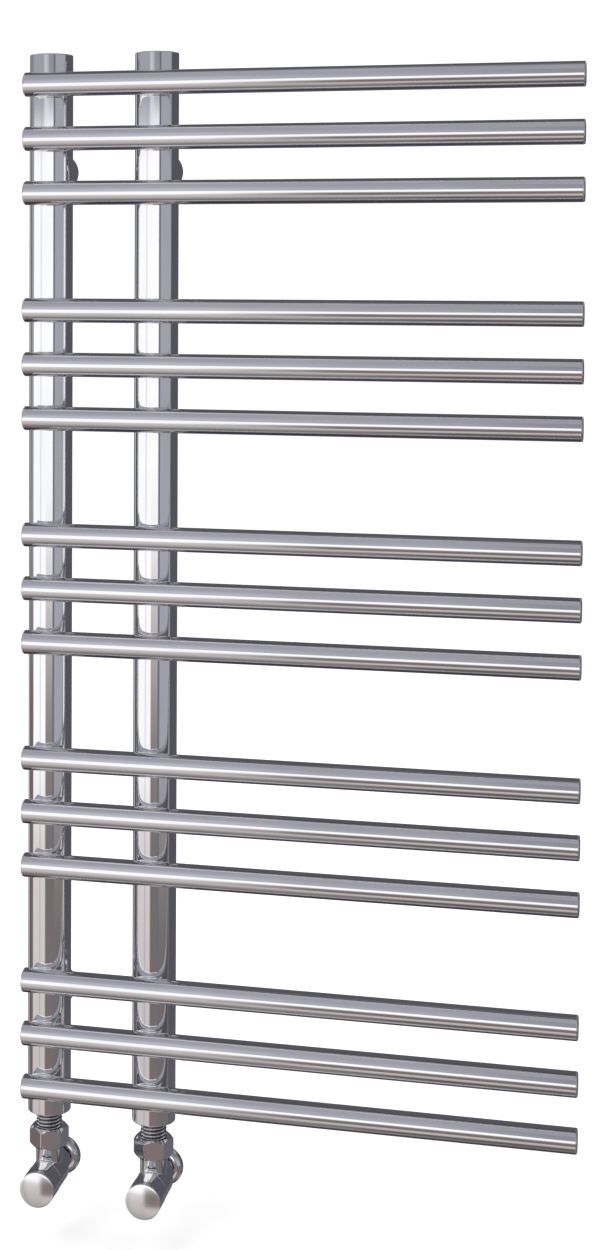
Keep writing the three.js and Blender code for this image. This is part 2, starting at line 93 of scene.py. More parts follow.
UNION_FLATS = 32 * MM
UNION_BORE = 13.4 * MM
UNION_LIP = 1.2 * MM            # the union nut's upper end closes in by this much
UNION_TURNS = (22, 15)          # where each union nut stopped when tightened, degrees
PIPE_NUT_BORE = 10.6 * MM
PIPE_NUT_LIP = 2.8 * MM
CORNER_SHARPNESS = 90           # of a nut's corners
THREAD_CREST = 12 * MM          # outer radius
THREAD_ROOT = 10.1 * MM         # inner radius
THREAD_PITCH = 3.3 * MM
THREAD_TURNS = 7
TAIL_BORE = 7.5 * MM
TAIL_COLLAR = 3.4 * MM

GRIP_WALL = 2.2 * MM
GRIP_FACE = 5 * MM              # thickness of a handle's front
DOME_EDGE = 0.9 * MM            # width of the cap's turned-down edge
DOME_SIDE = 1.4 * MM            # height of the cap's side
PIPE_WALL = 1 * MM
ROSE_SKIN = 1.1 * MM
ROSE_GAP = 0.5 * MM             # between the pipe and the rose
ROSE_COLLAR = 3 * MM            # flat ring round the pipe
ROSE_RIM = 1.6 * MM             # straight rim against the wall

FLOOR_DROP = 0.04               # the floor lies this far below the valves
FLOOR_RADIUS = 40
SHELL_RADIUS = 4.3
CHROME_SHARE = 0.87             # of the light that falls on it, chrome gives back
AIR_LIGHT = 1.12
LAMP_SIZE = 3.0
# Name, place and watts of each lamp.
LAMPS = [("key", (-1.5, -2.5, 3.2), 60), ("fill", (2.2, 2.0, 3.2), 40)]

CAMERA_PLACE = (0.5044, -1.8977, 0.2842)
CAMERA_YAW = -0.2433            # radians
CAMERA_PITCH = -0.0241
CAMERA_ROLL = 0.0033
CAMERA_LENS = 60.39
CAMERA_SHIFT = (0.1228, -0.2374)

X = Vector((1, 0, 0))
Y = Vector((0, 1, 0))
Z = Vector((0, 0, 1))


# ---------------------------------------------------------------------------------------
# Places read from the frame
# ---------------------------------------------------------------------------------------

def low(node):
    return Vector(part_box(node)[0])


def high(node):
    return Vector(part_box(node)[1])


def middle(node):
    return (low(node) + high(node)) / 2


def size(node):
    return high(node) - low(node)


BARS = sorted(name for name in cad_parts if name.startswith("bar_"))
BAR_R = size(BARS[0]).z / 2
BAR_Y = middle(BARS[0]).y
COLLECTOR_R = size("collector_1").x / 2
COLLECTOR_Y = middle("collector_1").y


def collector_axis(side):
    return middle(f"collector_{side}").x


def valve_centre(side):
    """Where the level and the upright axis of a valve cross."""
    return Vector((collector_axis(side), COLLECTOR_Y, middle(f"handle_cap_{side}").z))


# ---------------------------------------------------------------------------------------
# Node helpers and materials
# ---------------------------------------------------------------------------------------

def new_material(name):
    material = bpy.data.materials.new(name)
    material.use_nodes = True
    nodes = material.node_tree.nodes
    nodes.clear()
    out = nodes.new("ShaderNodeOutputMaterial")
    shader = nodes.new("ShaderNodeBsdfPrincipled")
    material.node_tree.links.new(shader.outputs["BSDF"], out.inputs["Surface"])
    return material, shader


def noise(tree, scale, detail=3.0, roughness=0.5, stretch=(1, 1, 1)):
    """Noise in object space, in metres, stretched along some axes."""
    place = tree.nodes.new("ShaderNodeTexCoord")
    mapping = tree.nodes.new("ShaderNodeMapping")
    mapping.inputs["Scale"].default_value = stretch
    texture = tree.nodes.new("ShaderNodeTexNoise")
    texture.inputs["Scale"].default_value = scale
    texture.inputs["Detail"].default_value = detail
    texture.inputs["Roughness"].default_value = roughness
    tree.links.new(place.outputs["Object"], mapping.inputs["Vector"])
    tree.links.new(mapping.outputs["Vector"], texture.inputs["Vector"])
    return texture.outputs["Fac"]


def ramp(tree, source, stops):
    node = tree.nodes.new("ShaderNodeValToRGB")
    elements = node.color_ramp.elements
    while len(elements) < len(stops):
        elements.new(0.5)
    for element, (position, colour) in zip(elements, stops):
        element.position = position
        element.color = (*colour, 1)
    tree.links.new(source, node.inputs["Fac"])
    return node.outputs["Color"]


def spread(tree, source, start, end, low_value, high_value):
    """Maps source from start..end to low_value..high_value."""
    node = tree.nodes.new("ShaderNodeMapRange")
    node.inputs["From Min"].default_value = start
    node.inputs["From Max"].default_value = end
    node.inputs["To Min"].default_value = low_value
    node.inputs["To Max"].default_value = high_value
    tree.links.new(source, node.inputs["Value"])
    return node.outputs["Result"]


def bump(tree, shader, height, strength, distance, under=None):
    node = tree.nodes.new("ShaderNodeBump")
    node.inputs["Strength"].default_value = strength
    node.inputs["Distance"].default_value = distance
    tree.links.new(height, node.inputs["Height"])
    if under is not None:
        tree.links.new(under, node.inputs["Normal"])
    tree.links.new(node.outputs["Normal"], shader.inputs["Normal"])
    return node.outputs["Normal"]


def chrome(name, lines, haze=(0.035, 0.075), wave=1.0, dim=1.0):
    """Mirror plate: faint polishing lines along the piece, slow waves under the plate, hazy patches."""
    material, shader = new_material(name)
    tree = material.node_tree
    shader.inputs["Metallic"].default_value = 1.0
    tone = ramp(tree, noise(tree, scale=9, detail=4), [
        (0.3, (0.83 * dim, 0.832 * dim, 0.85 * dim)),
        (0.7, (0.9 * dim, 0.9 * dim, 0.91 * dim)),
    ])
    tree.links.new(tone, shader.inputs["Base Color"])
    patches = noise(tree, scale=38, detail=6, roughness=0.6)
    tree.links.new(spread(tree, patches, 0.35, 0.75, *haze), shader.inputs["Roughness"])
    waves = noise(tree, scale=22, detail=1)
    polish = noise(tree, scale=420, detail=2, stretch=lines)
    slow = bump(tree, shader, waves, strength=0.05 * wave, distance=0.002)
    bump(tree, shader, polish, strength=0.03, distance=0.0001, under=slow)
    return material


def brass():
    material, shader = new_material("turned_brass")
    tree = material.node_tree
    shader.inputs["Metallic"].default_value = 1.0
    tone = ramp(tree, noise(tree, scale=130, detail=5, roughness=0.6), [
        (0.25, (0.52, 0.36, 0.14)),
        (0.55, (0.74, 0.56, 0.27)),
        (0.8, (0.83, 0.66, 0.36)),
    ])
    tree.links.new(tone, shader.inputs["Base Color"])
    patches = noise(tree, scale=240, detail=4)
    tree.links.new(spread(tree, patches, 0.3, 0.7, 0.2, 0.38), shader.inputs["Roughness"])
    marks = noise(tree, scale=900, detail=2, stretch=(1, 8, 1))
    bump(tree, shader, marks, strength=0.12, distance=0.0002)
    return material


def steel():
    material, shader = new_material("turned_steel")
    tree = material.node_tree
    shader.inputs["Metallic"].default_value = 1.0
    tone = ramp(tree, noise(tree, scale=90, detail=5, roughness=0.6), [
        (0.3, (0.42, 0.42, 0.41)),
        (0.7, (0.62, 0.62, 0.6)),
    ])
    tree.links.new(tone, shader.inputs["Base Color"])
    patches = noise(tree, scale=160, detail=4)
    tree.links.new(spread(tree, patches, 0.3, 0.7, 0.25, 0.45), shader.inputs["Roughness"])
    marks = noise(tree, scale=1200, detail=2, stretch=(1, 1, 6))
    bump(tree, shader, marks, strength=0.15, distance=0.0002)
    return material


def rubber():
    material, shader = new_material("black_rubber")
    tree = material.node_tree
    tone = ramp(tree, noise(tree, scale=300, detail=5, roughness=0.7), [
        (0.3, (0.012, 0.012, 0.013)),
        (0.75, (0.04, 0.04, 0.042)),
    ])
    tree.links.new(tone, shader.inputs["Base Color"])
    patches = noise(tree, scale=500)
    tree.links.new(spread(tree, patches, 0.3, 0.7, 0.6, 0.85), shader.inputs["Roughness"])
    bump(tree, shader, noise(tree, scale=1600), strength=0.25, distance=0.0002)
    return material


MATERIALS = {
    "bar_chrome": chrome("bar_chrome", (1, 30, 30), wave=0.8),
    "collector_chrome": chrome("collector_chrome", (30, 30, 1)),
    "fitting_chrome": chrome("fitting_chrome", (12, 1, 12), haze=(0.04, 0.09), wave=0.5),
    "satin_chrome": chrome("satin_chrome", (1, 1, 1), haze=(0.13, 0.19), wave=0.4, dim=1.07),
    # The thread's two finishes are a lit and a shaded copy of one chrome: crests a little brighter (dim
    # 1.05), grooves darkened and hazier (dim 0.22) as painted shade in the thread's grooves.
    "thread_chrome": chrome("thread_chrome", (6, 6, 30), haze=(0.02, 0.05), dim=1.05),
    "groove_shade_chrome": chrome("groove_shade_chrome", (6, 6, 30), haze=(0.1, 0.2), dim=0.22),
    "brass": brass(),
    "steel": steel(),
    "rubber": rubber(),
}


# ---------------------------------------------------------------------------------------
# Mesh helpers
# ---------------------------------------------------------------------------------------

def finish_piece(mesh_maker, name, material, body, nodes, crease=38):
    """Turns a bmesh into a smooth piece, with its edges over crease degrees kept sharp."""
    bmesh.ops.recalc_face_normals(mesh_maker, faces=mesh_maker.faces)
    for face in mesh_maker.faces:
        face.smooth = True
    for edge in mesh_maker.edges:
        bends = len(edge.link_faces) == 2 and edge.calc_face_angle(0) > math.radians(crease)
        edge.smooth = not bends
    mesh = bpy.data.meshes.new(name)
    mesh_maker.to_mesh(mesh)
    mesh_maker.free()
    piece = bpy.data.objects.new(name, mesh)
    bpy.context.scene.collection.objects.link(piece)
    mesh.materials.append(MATERIALS[material])
    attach(piece, body)
    if nodes:
        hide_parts(*nodes)
    return piece


def rounded(corners, steps=6):
    """An outline of (radius, distance, fillet) corners with its fillets drawn as arcs.

    A short straight step on each side of an arc keeps the shading of the long faces flat.
    """
    points = []
    for i, (r, t, fillet) in enumerate(corners):
        here = Vector((r, t))
        if fillet == 0:
            points.append(here)
            continue
        before = (Vector(corners[i - 1][:2]) - here).normalized()
        after = (Vector(corners[(i + 1) % len(corners)][:2]) - here).normalized()
        half = before.angle(after) / 2
        run = fillet / math.tan(half)
        centre = here + (before + after).normalized() * fillet / math.sin(half)
        first = here + before * run
        last = here + after * run
        points.append(first + before * fillet * 0.2)
        start = first - centre
        turn = start.angle_signed(last - centre)
        for k in range(steps + 1):
            angle = -turn * k / steps
            points.append(centre + Matrix.Rotation(angle, 2) @ start)
        points.append(last + after * fillet * 0.2)
    return [(max(p.x, 0.0), p.y) for p in points]


def polar(r, angle, t):
    """The point at radius r and height t about +Z."""
    return Vector((r * math.cos(angle), r * math.sin(angle), t))


def axis_frame(axis):
    """Turns +Z to axis."""
    return Z.rotation_difference(axis).to_matrix().to_4x4()


def revolve(maker, outline, origin, axis, segments):
    """Adds an outline of (radius, distance) points turned about the axis to a bmesh."""
    place = Matrix.Translation(origin) @ axis_frame(axis)
    closed = outline[0][0] > 0 or outline[-1][0] > 0
    rings = []
    for r, t in outline:
        if r < 1e-7:
            rings.append([maker.verts.new(place @ Vector((0, 0, t)))])
            continue
        ring = []
        for k in range(segments):
            angle = 2 * math.pi * k / segments
            ring.append(maker.verts.new(place @ polar(r, angle, t)))
        rings.append(ring)
    pairs = list(zip(rings, rings[1:]))
    if closed:
        pairs.append((rings[-1], rings[0]))
    for a, b in pairs:
        join_rings(maker, a, b)


def join_rings(maker, a, b):
    if len(a) == 1 and len(b) == 1:
        return
    count = max(len(a), len(b))
    for k in range(count):
        n = (k + 1) % count
        if len(a) == 1:
            maker.faces.new((a[0], b[k], b[n]))
        elif len(b) == 1:
            maker.faces.new((a[k], b[0], a[n]))
        else:
            maker.faces.new((a[k], b[k], b[n], a[n]))


def fillet_strip(maker, rows):
    """Adds a closed strip from rows of points; each row runs across the strip."""
    grid = [[maker.verts.new(p) for p in row] for row in rows]
    for i, row in enumerate(grid):
        after = grid[(i + 1) % len(grid)]
        for k in range(len(row) - 1):
            maker.faces.new((row[k], row[k + 1], after[k + 1], after[k]))


def fillet_row(centre, toward_a, toward_b, radius, steps=5):
    """Points of one rolling-ball arc about centre from one wall to the other."""
    turn = toward_a.rotation_difference(toward_b)
    axis, angle = turn.axis, turn.angle
    row = []
    for k in range(steps + 1):
        row.append(centre + radius * (Matrix.Rotation(angle * k / steps, 3, axis) @ toward_a))
    return row


# ---------------------------------------------------------------------------------------
# Bars
# ---------------------------------------------------------------------------------------

def make_bar(node):
    start = low(node)
    length = size(node).x
    outline = rounded([
        (0, 0, 0),
        (BAR_R, 0, BAR_EDGE),
        (BAR_R, length, BAR_EDGE),
        (0, length, 0),
    ])
    maker = bmesh.new()
    revolve(maker, outline, Vector((start.x, BAR_Y, middle(node).z)), X, segments=96)
    finish_piece(maker, f"tube_{node}", "bar_chrome", ROOT, [node])


def make_bar_weld(node, side):
    """Polished braze where a bar lies in a collector's saddle."""
    across = collector_axis(side)
    depth = COLLECTOR_Y - BAR_Y
    bar_ring = BAR_R + BRAZE_R
    collector_ring = COLLECTOR_R + BRAZE_R
    widest = math.acos((depth - collector_ring) / bar_ring)
    rows = []
    count = 64
    for k in range(count):
        around = 2 * math.pi * (k + 0.5) / count
        beta = widest * math.sin(around)
        y = -depth + bar_ring * math.cos(beta)
        z = bar_ring * math.sin(beta)
        x = math.copysign(math.sqrt(max(collector_ring ** 2 - y ** 2, 0)), math.cos(around))
        to_bar = -Vector((0, math.cos(beta), math.sin(beta)))
        to_collector = -Vector((x, y, 0)).normalized()
        centre = Vector((across + x, COLLECTOR_Y + y, middle(node).z + z))
        rows.append(fillet_row(centre, to_bar, to_collector, BRAZE_R))
    maker = bmesh.new()
    fillet_strip(maker, rows)
    finish_piece(maker, f"braze_{node}_{side}", "fitting_chrome", ROOT, [])


# ---------------------------------------------------------------------------------------
# Collectors
# ---------------------------------------------------------------------------------------

def make_collector(side):
    node = f"collector_{side}"
    bottom = low(node).z
    length = size(node).z
    bore = size(f"tailpiece_{side}").x / 2 - BUSH_STEP
    plug = length * BUSH_PLUG
    outline = rounded([
        (bore, plug, 0),
        (bore, BUSH_SINK, 0.3 * MM),
        (bore + BUSH_SINK, 0, 0.3 * MM),
        (COLLECTOR_R, 0, COLLECTOR_EDGE),
        (COLLECTOR_R, length, COLLECTOR_EDGE),
        (0, length, 0),
    ])
    outline.insert(0, (0, plug))
    maker = bmesh.new()
    revolve(maker, outline, Vector((collector_axis(side), COLLECTOR_Y, bottom)), Z, segments=128)
    nodes = [node, f"collector_cap_{side}", f"collector_bush_{side}"]
    finish_piece(maker, f"collector_shell_{side}", "collector_chrome", ROOT, nodes)


def make_vent():
    """Square-headed vent needle in its raised seat."""
    node = "vent_screw"
    centre = middle(node)
    back = high(node).y
    seat = COLLECTOR_Y + COLLECTOR_R - NEEDLE_SINK
    maker = bmesh.new()
    radius = size(node).x / 2
    top = NEEDLE_SEAT + 0.1 * MM
    outline = rounded([
        (0, 0, 0),
        (radius, 0, 0),
        (radius, top, 0.4 * MM),
        (0, top, 0),
    ])
    revolve(maker, outline, Vector((centre.x, seat, centre.z)), Y, segments=48)
    root = seat + NEEDLE_SEAT
    place = Matrix.Translation((centre.x, (root + back) / 2, centre.z))
    stretch = Matrix.Diagonal((NEEDLE_SQUARE, back - root, NEEDLE_SQUARE, 1))
    made = bmesh.ops.create_cube(maker, size=1, matrix=place @ stretch)
    edges = {edge for vert in made["verts"] for edge in vert.link_edges}
    bmesh.ops.bevel(maker, geom=list(edges), offset=0.5 * MM, segments=3, affect="EDGES")
    finish_piece(maker, "vent_needle", "brass", "vent_screw", [node])


# ---------------------------------------------------------------------------------------
# Brackets
# ---------------------------------------------------------------------------------------

def crossing_fillet(maker, origin, branch_axis, branch_r, main_r, main_axis, ball):
    """Rolling-ball fillet where a round branch stands on a round main; the axes cross at origin."""
    side_axis = branch_axis.cross(main_axis)
    rows = []
    count = 96
    for k in range(count):
        angle = 2 * math.pi * k / count
        across = (branch_r + ball) * math.cos(angle)
        along = (branch_r + ball) * math.sin(angle)
        rise = math.sqrt((main_r + ball) ** 2 - across ** 2)
        centre = origin + side_axis * across + main_axis * along + branch_axis * rise
        to_branch = -(side_axis * math.cos(angle) + main_axis * math.sin(angle))
        to_main = -(side_axis * across + branch_axis * rise).normalized()
        rows.append(fillet_row(centre, to_branch, to_main, ball))
    fillet_strip(maker, rows)


def bracket_centre(row, side):
    """Where a bracket's axis crosses its collector's."""
    centre = middle(f"bracket_boss_{row}_{side}")
    return Vector((centre.x, COLLECTOR_Y, centre.z))


def make_boss(row, side):
    """Round boss standing on the back of a collector, with a socket for its sleeve."""
    node = f"bracket_boss_{row}_{side}"
    origin = bracket_centre(row, side)
    radius = size(node).z / 2
    begin = COLLECTOR_R * BOSS_START
    reach = high(node).y - COLLECTOR_Y
    socket = size(f"wall_sleeve_{row}_{side}").x / 2 - SLEEVE_PIPE + 0.3 * MM
    outline = rounded([
        (0, begin, 0),
        (radius, begin, 0),
        (radius, reach, 1.2 * MM),
        (socket, reach, 0.4 * MM),
        (socket, reach - BOSS_SOCKET, 0),
        (0, reach - BOSS_SOCKET, 0),
    ])
    maker = bmesh.new()
    revolve(maker, outline, origin, Y, segments=96)
    crossing_fillet(maker, origin, Y, radius, COLLECTOR_R, Z, BOSS_FILLET)
    finish_piece(maker, f"boss_{row}_{side}", "fitting_chrome", ROOT, [node])


def make_sleeve(row, side):
    """Tube between a boss and the wall, with a flange that a wall screw holds."""
    node = f"wall_sleeve_{row}_{side}"
    flange = size(node).x / 2
    pipe = flange - SLEEVE_PIPE
    start = low(node).y - COLLECTOR_Y
    wall = high(node).y - COLLECTOR_Y
    step = wall - SLEEVE_FLANGE
    outline = rounded([
        (pipe - SLEEVE_WALL, start, 0.2 * MM),
        (pipe, start, 0.4 * MM),
        (pipe, step, 0.8 * MM),
        (flange, step, 0.8 * MM),
        (flange, wall, 0.2 * MM),
        (WALL_SCREW_R, wall, 0.2 * MM),
        (WALL_SCREW_R, step, 0.2 * MM),
        (pipe - SLEEVE_WALL, step, 0.2 * MM),
    ])
    maker = bmesh.new()
    revolve(maker, outline, bracket_centre(row, side), Y, segments=72)
    finish_piece(maker, f"sleeve_{row}_{side}", "fitting_chrome", ROOT, [node])


# ---------------------------------------------------------------------------------------
# Valves
# ---------------------------------------------------------------------------------------

def make_body(side):
    node = f"valve_body_{side}"
    origin = valve_centre(side)
    front = low(node).y - origin.y
    tail = high(node).y - origin.y
    barrel = size(node).x / 2
    top = high(node).z - origin.z
    outline = rounded([
        (0, front, 0),
        (barrel, front, 0.6 * MM),
        (barrel, BARREL_END, 2.2 * MM),
        (PIPE_THREAD_R + SHOULDER_STEP, SHOULDER, 0.5 * MM),
        (PIPE_THREAD_R, SHOULDER, 0),
        (PIPE_THREAD_R, tail, 0.5 * MM),
        (0, tail, 0),
    ])
    maker = bmesh.new()
    revolve(maker, outline, origin, Y, segments=128)
    nut_bottom = low(f"union_nut_{side}").z - origin.z
    outline = rounded([
        (0, 0, 0),
        (NECK_R, 0, 0),
        (NECK_R, nut_bottom + 1 * MM, 0),
        (NECK_R + NECK_LIP, nut_bottom + 2 * MM, 0),
        (NECK_R + NECK_LIP, top, 0.3 * MM),
        (0, top, 0),
    ])
    revolve(maker, outline, origin, Z, segments=96)
    crossing_fillet(maker, origin, Z, NECK_R, barrel, Y, NECK_FILLET)
    finish_piece(maker, f"body_{side}", "fitting_chrome", ROOT, [node])


def soft_hexagon(angle, flats):
    """Radius at an angle of a hexagon with slightly softened corners."""
    reach = 0
    for k in range(6):
        facing = math.cos(angle - k * math.pi / 3)
        if facing > 0:
            reach += facing ** CORNER_SHARPNESS
    return flats / 2 / reach ** (1 / CORNER_SHARPNESS)


def make_nut(name, node, origin, axis, flats, ends, bore, turn, chamfers, lip):
    """Hexagon nut whose ends are turned to a 45 degree cone; its bore is narrower by lip at the far end."""
    start, end = ends
    place = Matrix.Translation(origin) @ axis_frame(axis)
    maker = bmesh.new()
    rows = []
    count = 144
    ease = 0.5 * MM
    hidden = 2 * MM
    low_face = flats / 2 - chamfers[0]
    high_face = flats / 2 - chamfers[1]
    for k in range(count):
        around = 2 * math.pi * k / count
        angle = turn + around
        r = soft_hexagon(around, flats)
        down = max(r - low_face, 0.0001)
        up = max(r - high_face, 0.0001)
        section = [
            (bore, start + hidden),
            (bore, start + ease),
            (bore + ease, start),
            (low_face, start),
            (r, start + down),
            (r, start + down + 0.3 * MM),
            (r, end - up - 0.3 * MM),
            (r, end - up),
            (high_face, end),
            (bore - lip + ease, end),
            (bore - lip, end - ease),
            (bore - lip, end - hidden),
        ]
        rows.append([place @ polar(distance, angle, t) for distance, t in section])
    fillet_strip(maker, rows)
    finish_piece(maker, name, "fitting_chrome", ROOT, [node], crease=26)


def make_union_nut(side):
    node = f"union_nut_{side}"
    origin = valve_centre(side)
    ends = (low(node).z - origin.z, high(node).z - origin.z)
    turn = math.radians(UNION_TURNS[side - 1]) + math.pi / 6
    chamfers = (1.0 * MM, 1.0 * MM)
    name = f"hex_nut_{side}"
    make_nut(name, node, origin, Z, UNION_FLATS, ends, UNION_BORE, turn, chamfers, UNION_LIP)


def make_pipe_nut(side):
    node = f"pipe_nut_{side}"
    origin = valve_centre(side)
    ends = (low(node).y - origin.y, high(node).y - origin.y)
    turn = math.pi / 6
    chamfers = (0.3 * MM, 1.0 * MM)
    flats = size(node).z
    name = f"rear_nut_{side}"
    make_nut(name, node, origin, Y, flats, ends, PIPE_NUT_BORE, turn, chamfers, PIPE_NUT_LIP)


def thread_section():
    """Points across one turn of the thread, as (radius, share of the pitch)."""
    return [
        (THREAD_ROOT, 0.0),
        (THREAD_ROOT + 0.2 * MM, 0.06),
        (THREAD_CREST - 0.25 * MM, 0.38),
        (THREAD_CREST, 0.45),
        (THREAD_CREST, 0.55),
        (THREAD_CREST - 0.25 * MM, 0.62),
        (THREAD_CREST - 0.9 * MM, 0.75),
        (THREAD_ROOT + 0.2 * MM, 0.94),
    ]


def add_helix(maker, origin, start, around=64):
    """Adds the thread's turns to a bmesh; the strips next to its root take material slot 1, a darkened
    chrome that paints shade into the grooves.
    """
    section = thread_section()
    grooves = (0, 1, len(section) - 2)
    lines = []
    for k in range(THREAD_TURNS * around + 1):
        angle = 2 * math.pi * k / around
        lift = start + THREAD_PITCH * k / around
        line = []
        for r, share in section:
            point = polar(r, angle, lift + share * THREAD_PITCH)
            line.append(maker.verts.new(origin + point))
        lines.append(line)
    for k in range(len(lines) - 1):
        near = lines[k]
        far = lines[k + 1]
        for j in range(len(section) - 1):
            face = maker.faces.new((near[j], near[j + 1], far[j + 1], far[j]))
            face.material_index = 1 if j in grooves else 0
        if k + around + 1 < len(lines):
            next_turn = (lines[k + around][0], lines[k + around + 1][0])
            maker.faces.new((near[-1], *next_turn, far[-1])).material_index = 1


def make_tailpiece(side):
    """Coarse outside thread as a true helix, on a plain collar hidden in the union nut."""
    node = f"tailpiece_{side}"
    origin = valve_centre(side)
    bottom = low(node).z - origin.z
    top = high(node).z - origin.z
    nut_top = high(f"union_nut_{side}").z - origin.z
    maker = bmesh.new()
    add_helix(maker, origin, nut_top - 1.5 * THREAD_PITCH)
    core = THREAD_ROOT + 0.05 * MM
    collar = size(node).x / 2
    shelf = bottom + TAIL_COLLAR
    outline = rounded([
        (TAIL_BORE, bottom, 0),
        (collar, bottom, 0.3 * MM),
        (collar, shelf, 0.3 * MM),
        (core, shelf, 0),
        (core, top, 0.3 * MM),
        (TAIL_BORE, top, 0),
    ])
    revolve(maker, outline, origin, Z, segments=64)
    piece = finish_piece(maker, f"thread_{side}", "thread_chrome", ROOT, [node], crease=50)
    # Slot 1 is the darkened chrome, painted shade in the thread's grooves.
    piece.data.materials.append(MATERIALS["groove_shade_chrome"])


def make_grip(side):
    node = f"handle_{side}"
    origin = valve_centre(side)
    front = low(node).y - origin.y
    rear = high(node).y - origin.y
    radius = size(node).x / 2
    inside = radius - GRIP_WALL
    outline = rounded([
        (0, front, 0),
        (radius, front, 0.5 * MM),
        (radius, rear, 0.8 * MM),
        (inside, rear, 0.4 * MM),
        (inside, front + GRIP_FACE, 1.0 * MM),
        (0, front + GRIP_FACE, 0),
    ])
    maker = bmesh.new()
    revolve(maker, outline, origin, Y, segments=128)
    finish_piece(maker, f"grip_{side}", "fitting_chrome", f"handle_{SIDE_NAMES[side]}", [node])


def make_dome(side):
    """Satin cap with a slightly domed face, over the grip's front."""
    node = f"handle_cap_{side}"
    grip = f"handle_{side}"
    origin = valve_centre(side)
    tip = low(node).y - origin.y
    seat = low(grip).y - origin.y
    radius = size(grip).x / 2
    bend = radius - DOME_EDGE
    fall = seat - tip - DOME_SIDE
    outline = [(0, tip)]
    steps = 14
    for k in range(1, steps + 1):
        share = k / steps
        outline.append((bend * share, tip + fall * share ** 2))
    outline += rounded([
        (bend, tip + fall, 0),
        (radius, tip + fall + 0.3 * MM, 0.5 * MM),
        (radius, seat - 0.15 * MM, 0.1 * MM),
        (0, seat - 0.15 * MM, 0),
    ])[1:]
    maker = bmesh.new()
    revolve(maker, outline, origin, Y, segments=128)
    body = f"handle_{SIDE_NAMES[side]}"
    finish_piece(maker, f"dome_{side}", "satin_chrome", body, [node], crease=60)


def make_pipe(side):
    node = f"inlet_pipe_{side}"
    origin = valve_centre(side)
    start = low(node).y - origin.y
    wall = high(node).y - origin.y
    radius = size(node).x / 2
    outline = rounded([
        (radius - PIPE_WALL, start, 0.2 * MM),
        (radius, start, 0.3 * MM),
        (radius, wall, 0.3 * MM),
        (radius - PIPE_WALL, wall, 0.2 * MM),
    ])
    maker = bmesh.new()
    revolve(maker, outline, origin, Y, segments=64)
    finish_piece(maker, f"pipe_{side}", "fitting_chrome", ROOT, [node])


def make_rose(side):
    """Thin spun cover over the hole in the wall, open at its back."""
    node = f"rose_{side}"
    pipe = f"inlet_pipe_{side}"
    origin = valve_centre(side)
    front = low(node).y - origin.y
    wall = high(pipe).y - origin.y
    rim = size(node).x / 2
    hole = size(pipe).x / 2 + ROSE_GAP
    crown = hole + ROSE_COLLAR
    bend = wall - ROSE_RIM
    outer = []
    inner = []
    steps = 16
    for k in range(steps + 1):
        angle = math.pi / 2 * k / steps
        r = crown + (rim - crown) * math.sin(angle)
        t = bend - (bend - front) * math.cos(angle)
        outer.append((r, t))
        inner.insert(0, (r - ROSE_SKIN * math.sin(angle), t + ROSE_SKIN * math.cos(angle)))
    ease = 0.3 * MM
    outline = [(hole, front + ease), (hole + ease, front), *outer]
    outline += [(rim, wall - ease), (rim - ease, wall), (rim - ROSE_SKIN, wall)]
    outline += [*inner, (hole, front + ROSE_SKIN)]
    maker = bmesh.new()
    revolve(maker, outline, origin, Y, segments=128)
    finish_piece(maker, f"wall_rose_{side}", "fitting_chrome", ROOT, [node])


def dress_inner_nodes():
    """Working parts inside a valve keep their CAD shape."""
    finishes = {
        "bonnet": "brass",
        "spindle": "brass",
        "disc_carrier": "brass",
        "handle_screw": "steel",
        "tail_washer": "rubber",
        "spindle_seal": "rubber",
        "valve_disc": "rubber",
    }
    for kind, material in finishes.items():
        for side in SIDES:
            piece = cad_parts[f"{kind}_{side}"]
            piece.data.materials.clear()
            piece.data.materials.append(MATERIALS[material])


# ---------------------------------------------------------------------------------------
# Studio
# ---------------------------------------------------------------------------------------

def make_floor():
    maker = bmesh.new()
    bmesh.ops.create_circle(maker, cap_ends=True, segments=96, radius=FLOOR_RADIUS)
    mesh = bpy.data.meshes.new("floor")
    maker.to_mesh(mesh)
    maker.free()
    floor = bpy.data.objects.new("floor", mesh)
    floor.location = (0, 0, CAD_BOX[0].z - FLOOR_DROP)
    bpy.context.scene.collection.objects.link(floor)
    material, shader = new_material("floor_paint")
    shader.inputs["Base Color"].default_value = (0.95, 0.95, 0.95, 1)
    shader.inputs["Roughness"].default_value = 0.9
    shader.inputs["Specular IOR Level"].default_value = 0.1
    mesh.materials.append(material)
    floor.visible_glossy = False


def math_node(tree, operation, a, b=None):
    node = tree.nodes.new("ShaderNodeMath")
    node.operation = operation
    for socket, value in zip(node.inputs, (a, b)):
        if value is None:
            continue
        if isinstance(value, (int, float)):
            socket.default_value = value
        else:
            tree.links.new(value, socket)
    return node.outputs["Value"]


def mix_colour(tree, share, a, b):
    """a where share is 0 and b where it is 1; b may be a plain colour."""
    node = tree.nodes.new("ShaderNodeMix")
    node.data_type = "RGBA"
    tree.links.new(share, node.inputs["Factor"])
    tree.links.new(a, node.inputs["A"])
    if isinstance(b, tuple):
        node.inputs["B"].default_value = (*b, 1)
    else:
        tree.links.new(b, node.inputs["B"])
    return node.outputs["Result"]


def tone(value, tint=(1, 1, 1)):
    """The linear light that chrome mirrors as a screen value from 0 to 255, tinted."""
    share = value / 255
    linear = share / 12.92 if share <= 0.04045 else ((share + 0.055) / 1.055) ** 2.4
    return tuple(linear * t / CHROME_SHARE for t in tint)


def window(tree, source, start, end, soft):
    """1 between start and end, 0 outside, with soft shoulders."""
    rise = spread(tree, source, start - soft, start + soft, 0, 1)
    fall = spread(tree, source, end - soft, end + soft, 1, 0)
    return math_node(tree, "MULTIPLY", rise, fall)


# Tints of the walls, by which a tone is multiplied.
LAVENDER = (0.965, 0.97, 1.09)
WARM = (1.05, 0.97, 0.955)
BROWN = (1.07, 0.965, 0.93)
COPPER = (1.19, 0.93, 0.89)
VIOLET = (0.97, 0.935, 1.14)
WHITE = (1, 1, 1)

